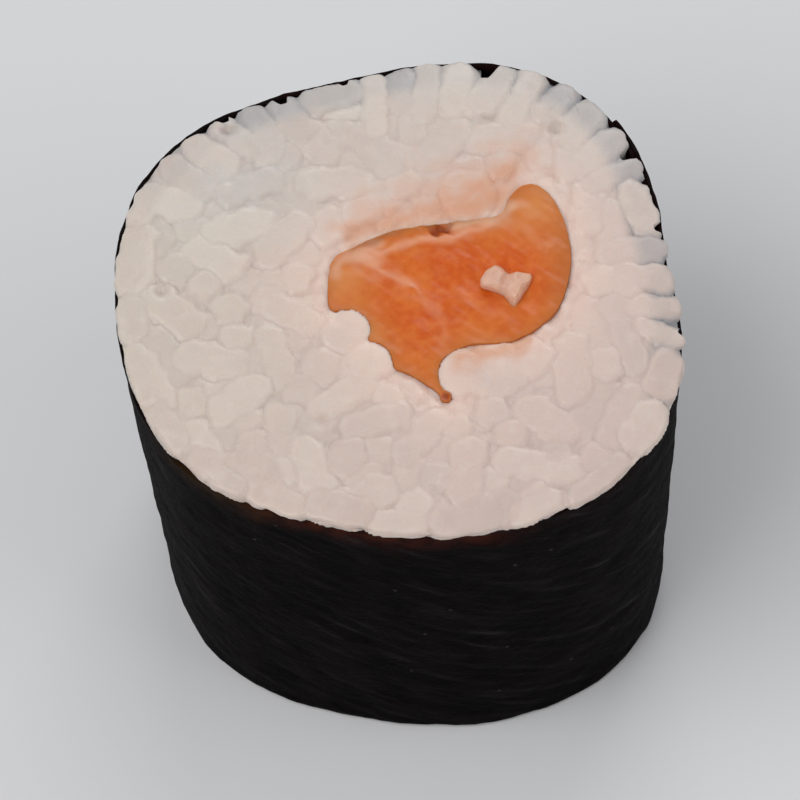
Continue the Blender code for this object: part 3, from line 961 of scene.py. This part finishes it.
def makeNori(material):
    sizes = {**nori, "Material": material}
    tree, given = newGeometryTree("rolledSheet", sizes)
    counts = {"Size X": 1.0, "Size Y": 1.0, "Vertices X": given["Columns"], "Vertices Y": given["Rows"]}
    grid = tree.node("GeometryNodeMeshGrid", None, counts)
    x, y, _ = tree.parted(tree.node("GeometryNodeInputPosition"))
    along, share = x + 0.5, y + 0.5
    height = given["Foot"] + (given["Top"] - given["Foot"]) * share
    girth = 2 * math.pi * (roll["rimRadius"] * narrowing(height) - roll["overhang"])
    travelled = along * (2 * math.pi) * (given["Sheet width"] / girth)
    angle = given["Lap angle"] + travelled
    c, s = angle.cos(), angle.sin()
    lapped = (travelled - 2 * math.pi + given["Lap ramp"]).between(0.0, given["Lap ramp"])
    ragged = tree.noise(tree.joined(c * 16, s * 16, 0.0), 0.6, 2.5, 0.55) - 0.5
    z = height + share * share * (ragged * given["Ragged edge"] * 2 + sheetEdge(angle) - given["Top"])
    base = rollRadius(angle, z)
    place = tree.joined(base * c, base * s, z)
    bumps = tree.noise(place, 0.36, 2.0) - 0.5
    slant = tree.joined(base * c * 0.35, base * s * 0.35, z * 1.1 + angle * 2.0)
    wrinkles = tree.noise(slant, 0.9, 3.0) * 0.6 + tree.noise(place, 1.3, 2.0) * 0.4 - 0.5
    radius = base + given["Lap step"] * lapped + bumps * given["Rice bumps"] * 2
    radius += wrinkles * given["Wrinkles"] * 2
    unrolled = tree.joined(along * given["Sheet width"], height, 0.0)
    named = {"Geometry": grid, "Name": "sheetPlace", "Value": unrolled}
    marked = tree.node("GeometryNodeStoreNamedAttribute", {"data_type": "FLOAT_VECTOR"}, named)
    rolled = {"Geometry": marked, "Position": tree.joined(radius * c, radius * s, z)}
    endTree(tree, tree.node("GeometryNodeSetPosition", None, rolled), given["Material"])
    obj = linked("rolling", bpy.data.meshes.new("rolling"))
    runTree(obj, tree, sizes)
    modify(obj, "SOLIDIFY", thickness=nori["Thickness"], offset=-1.0)
    finishPiece("noriSheet", meshOf(obj), material, "nori")


# Finishes


def newMaterial(name, constants, finish=None):  # the finish gives the wires of what varies
    material = bpy.data.materials.new(name)
    material.use_nodes = True
    shader = material.node_tree.nodes["Principled BSDF"]
    tree = Wiring(material.node_tree)
    tree.feedAll(shader, constants)
    if finish:
        place = tree.scaled(tree.node("ShaderNodeTexCoord", output="Object"), 1 / metresPerUnit)
        tree.feedAll(shader, finish(tree, place))
    return material


riceConstants = {
    "Subsurface Weight": 0.5, "Subsurface Radius": (1.0, 0.8, 0.65), "Subsurface Scale": 0.0008,
    "Specular IOR Level": 0.4, "Coat Roughness": 0.18,
}


def riceFinish(tree, place):
    names = ("groove", "crease", "grainShade", "rim", "fishBounceLight", "stain")
    groove, crease, shade, rim, fishBounceLight, stain = tree.attributes(*names)
    x, y, _ = tree.parted(place)
    specks = tree.noise(place, 1.1, 3.0)
    grainy = tree.noise(place, 1.5, 4.0, 0.6) * 0.7 + tree.noise(place, 6.0, 2.0) * 0.2
    colour = tree.layered((0.7, 0.628, 0.545), {
        "right": ((0.725, 0.577, 0.515), x.between(-13.0, 6.0)),
        "back": ((0.725, 0.662, 0.605), y.between(0.0, 13.0)),
        "front": ((0.705, 0.57, 0.5), (-y).between(0.0, 12.0) * (1 - x.between(-2.0, 6.0)) * 0.8),
        "backLeft": ((0.53, 0.6, 0.605), (1 - x.between(-9.0, 1.0)) * y.between(1.0, 9.0) * 0.3),
        "clouds": ((0.7, 0.56, 0.49), tree.noise(place, 0.16, 3.0).between(0.4, 0.7) * 0.6),
        "darkGrains": ((0.61, 0.535, 0.495), shade.between(0.5, 1.0) * 0.3),
        "paleGrains": ((0.82, 0.73, 0.65), (1 - shade).between(0.5, 1.0) * (1 - groove) * 0.38),
        "specks": ((0.81, 0.71, 0.63), specks.between(0.5, 0.8) * 0.35),
        # painted shade: darker and greyer down in the grooves between the grains
        "grooves": ((0.52, 0.44, 0.4), groove.between(0.1, 1.0) * 0.3),
        # painted shade: darker along the creases where two grains are pressed together
        "creasesPaintedShade": ((0.48, 0.41, 0.37), crease * 0.1),
        # painted shade with a greyer translucent tone: some grains at the open rim darker
        "rimGrains": ((0.43, 0.44, 0.455), rim * shade.between(0.35, 0.9) * 0.58),
        # painted shade over the open rim, darkest in its grooves and creases
        "rimGroovesPaintedShade": ((0.31, 0.32, 0.34), rim * (0.18 + 0.82 * groove + 0.45 * crease)),
        # painted light: the fish's orange light bounced onto the rice beside it
        "fishBounceLight": ((0.95, 0.7, 0.6), fishBounceLight * 0.78),
        "stains": ((0.76, 0.375, 0.22), stain * (0.6 + 0.5 * specks)),
    })
    return {
        "Base Color": colour,
        "Roughness": 0.32 + 0.26 * tree.noise(place, 0.8, 2.0),
        "Coat Weight": 0.45 * tree.noise(place, 0.5, 2.0).between(0.4, 0.65),
        "Normal": tree.bump(grainy, 0.6, 0.00016),
    }


salmonConstants = {
    "Subsurface Weight": 0.35, "Subsurface Radius": (1.2, 0.4, 0.15), "Subsurface Scale": 0.0008,
    "Specular IOR Level": 0.25, "Coat Roughness": 0.2,
}


def salmonFinish(tree, place):
    names = ("fat", "film", "skin", "pale", "rim", "edge", "pitAndTipPaintedShade")
    fat, film, skin, pale, rim, edge, pitAndTipPaintedShade = tree.attributes(*names)
    x, y, _ = tree.parted(place)
    fine = tree.noise(place, 1.8, 3.0)
    fibres = tree.noise(place, 1.6, 3.0) * 0.6 + tree.noise(place, 5.0, 2.0) * 0.2
    colour = tree.layered((0.68, 0.105, 0.007), {
        "flesh": ((0.74, 0.165, 0.018), tree.noise(place, 0.35, 3.0).between(0.35, 0.65)),
        "bright": ((0.82, 0.235, 0.045), fine.between(0.4, 0.75) * 0.45),
        "deep": ((0.6, 0.085, 0.006), (1 - fine).between(0.5, 0.75) * 0.35),
        "rim": ((0.61, 0.2, 0.048), rim * 0.6),
        "pale": ((0.74, 0.275, 0.082), pale * 0.85),
        "right": ((0.55, 0.165, 0.038), x.between(7.5, 9.5) * (1 - y.between(3.0, 5.5)) * 0.5),
        "fat": ((0.86, 0.43, 0.26), fat * 0.8),
        "film": ((0.84, 0.52, 0.36), film * 0.75),
        "skin": ((0.42, 0.16, 0.06), skin * 0.7),
        # painted shade: darker where the flesh meets the rice
        "edge": ((0.42, 0.135, 0.032), edge * 0.4),
        # painted shade in the pit and at the bite's tip
        "pitAndTipPaintedShade": ((0.31, 0.045, 0.005), pitAndTipPaintedShade.between(0.15, 0.95) * 0.9),
    })
    return {
        "Base Color": colour,
        "Roughness": 0.34 + 0.15 * fine,
        "Coat Weight": 0.2 * tree.noise(place, 0.6, 2.0).between(0.4, 0.65),
        "Normal": tree.bump(fibres, 0.3, 0.00012),
    }


noriConstants = {"Coat Roughness": 0.3, "Specular IOR Level": 0.013}


def noriFinish(tree, place):
    x, y, z = tree.parted(place)
    named = {"attribute_name": "sheetPlace"}  # where the point lies in the flat sheet
    sheet = tree.node("ShaderNodeAttribute", named, None, "Vector")
    along, across, _ = tree.parted(sheet)
    pores = tree.noise(place, 3.2, 4.0, 0.65)
    front = x.between(-16.0, -9.0) * (1 - x.between(3.0, 9.0)) * (-y).between(0.0, 6.0)
    edge = (z + 3.0 * tree.noise(place, 0.45, 3.0)).between(roll["height"] - 2.0, roll["height"] + 0.9)
    uneven = 0.45 + 0.55 * tree.noise(place, 0.8, 2.0).between(0.36, 0.6)
    cells = {"Vector": sheet, "Scale": 0.16}
    spots = tree.node("ShaderNodeTexVoronoi", {"voronoi_dimensions": "2D"}, cells)
    # tiny pale specks scattered over the sheet
    paleSpecks = (1 - spots.between(0.008, 0.022)) * tree.noise(place, 0.09, 1.0).between(0.52, 0.54)
    slant = tree.joined(across * 1.2 + along * 0.75, along * 0.25, 0.0)
    fibres = tree.noise(slant, 0.9, 3.0)
    olive, red = (0.042, 0.02, 0.007), (0.07, 0.016, 0.009)
    thin = tree.mix(x.between(-12.0, -3.0), olive, red)  # light comes through the thin edge
    colour = tree.layered((0.0024, 0.0018, 0.0022), {
        "patches": ((0.005, 0.0036, 0.004), tree.noise(place, 0.35, 3.0).between(0.35, 0.7)),
        "pores": ((0.0115, 0.0078, 0.0074), pores.between(0.5, 0.8) * 0.6),
        "thin": (thin, edge * (0.12 + 0.88 * front) * uneven),
        "paleSpecks": ((0.34, 0.29, 0.24), paleSpecks * 0.16),
        # lighter along the fibres: the sheet's own texture, together with painted sheen
        "fibres": ((0.016, 0.0132, 0.014), fibres.between(0.46, 0.72) * 0.5),
    })
    texture = pores + tree.noise(place, 9.0, 2.0) * 0.3 + fibres * 0.3
    streaks = fibres.between(0.6, 0.74) * tree.noise(place, 0.25, 1.0).between(0.4, 0.6)
    return {
        "Base Color": colour,
        "Roughness": 0.42 + 0.4 * pores,
        "Coat Weight": 0.1 * streaks,
        "Normal": tree.bump(texture, 0.6, 0.00018),
    }


# A grain and its chip that the knife left on the fish

stray = {
    "outline": (
        (4.6, 0.3), (4.62, 0.9), (5.1, 1.5), (5.7, 1.62), (6.18, 1.2), (6.85, 1.2),
        (7.42, 1.08), (7.48, 0.7), (7.15, 0.05), (6.5, -0.93), (5.85, -0.25), (5.15, 0.05),
    ),
    "points": 96,
    "layers": ((-0.25, 0.15), (0.18, 0.0), (0.46, 0.08), (0.62, 0.32)),  # height over the fish, inset
    "seam": ((6.25, 1.6), (5.95, 0.5), (5.75, -0.6)),  # where the grain and its chip meet
    "seamWidth": 0.22, "seamDepth": 0.22, "facets": 0.13, "voxel": 0.06,
}


def makeStray(material):
    chain = evenSteps(smoothCurve(stray["outline"], salmon["curveSteps"]), stray["points"])
    rings = []
    for height, inset in stray["layers"]:
        rings.append([(x, y, salmon["top"] + height) for x, y in grownRing(chain, -inset)])
    mesh = remeshed(loft(rings), stray["voxel"], 1)
    places = pointsOf(mesh)
    flat = places[:, :2].copy()
    seam = np.exp(-((nearestOnLine(flat, stray["seam"])[0] / stray["seamWidth"]) ** 2))
    above = smooth((places[:, 2] - salmon["top"]) / 0.3)
    places[:, 2] -= above * (stray["seamDepth"] * seam + stray["facets"] * abs(waves(flat, 1.7, 41)))
    movePoints(mesh, places)
    edge = np.exp(outsideRing(flat, chain).clip(None, 0) / 0.3)
    storeShares(mesh, {
        "grainShade": np.clip(0.5 + 0.5 * waves(places, 1.2, 42), 0, 1),
        # groove and crease give painted shade along the seam; rim makes the middle greyer
        "groove": 0.4 * seam, "crease": seam, "rim": 0.45 * (1 - edge),
        # painted light: the fish's orange light on the grain that lies on it
        "fishBounceLight": np.full(len(places), 0.7),
        "stain": 0.62 + 0.38 * edge,
    })
    finishPiece("strayGrain", mesh, material, "salmon")


# Studio

studio = {
    "view": (4.0, 62.0, 0.55, math.radians(-4.3)),  # azimuth, elevation, distance, tilt
    "lens": 430.5, "aim": (-0.0004, 0.0, 0.015), "world": 0.28, "floorSize": 1.5,
    "floorDrop": 0.00002,  # under the part
    "lights": (  # name, azimuth, elevation, distance, size, watts
        ("key", -60, 58, 0.6, 0.45, 1.8),
        ("fill", 75, 36, 0.7, 0.5, 1.0),
        ("back", 170, 34, 0.7, 0.4, 1.2),
    ),
}


def aimed(name, data, azimuth, elevation, distance, tilt=0.0):  # azimuth 0 is the front, and 90 the right
    a, e = math.radians(azimuth), math.radians(elevation)
    away = Vector((math.sin(a) * math.cos(e), -math.cos(a) * math.cos(e), math.sin(e)))
    obj = linked(name, data)
    obj.location = Vector(studio["aim"]) + away * distance
    obj.rotation_mode = "QUATERNION"
    obj.rotation_quaternion = (-away).to_track_quat("-Z", "Y") @ Quaternion((0, 0, 1), tilt)
    return obj


def makeStudio():
    camera = bpy.data.cameras.new("camera")
    camera.lens = studio["lens"]
    camera.clip_start = 0.01
    scene = bpy.context.scene
    scene.camera = aimed("camera", camera, *studio["view"])
    for name, azimuth, elevation, distance, size, watts in studio["lights"]:
        light = bpy.data.lights.new(name, "AREA")
        light.size, light.energy = size, watts
        aimed(name, light, azimuth, elevation, distance)
    world = bpy.data.worlds.new("studio")
    world.use_nodes = True
    background = world.node_tree.nodes["Background"]
    background.inputs["Color"].default_value = (0.95, 0.97, 1.0, 1.0)
    background.inputs["Strength"].default_value = studio["world"]
    scene.world = world
    scene.view_settings.view_transform = "Standard"
    mesh = bpy.data.meshes.new("floor")
    far, z = studio["floorSize"], -studio["floorDrop"]
    mesh.from_pydata([(-far, -far, z), (far, -far, z), (far, far, z), (-far, far, z)], [], [(0, 1, 2, 3)])
    mesh.materials.append(newMaterial("floor", {"Base Color": (0.78, 0.78, 0.79), "Roughness": 0.8}))
    linked("floor", mesh)


riceMaterial = newMaterial("riceFinish", riceConstants, riceFinish)
makeSalmon(newMaterial("salmonFinish", salmonConstants, salmonFinish))
makeStray(riceMaterial)
makeRice(riceMaterial)
makeNori(newMaterial("noriFinish", noriConstants, noriFinish))
makeStudio()
print("studio ready")
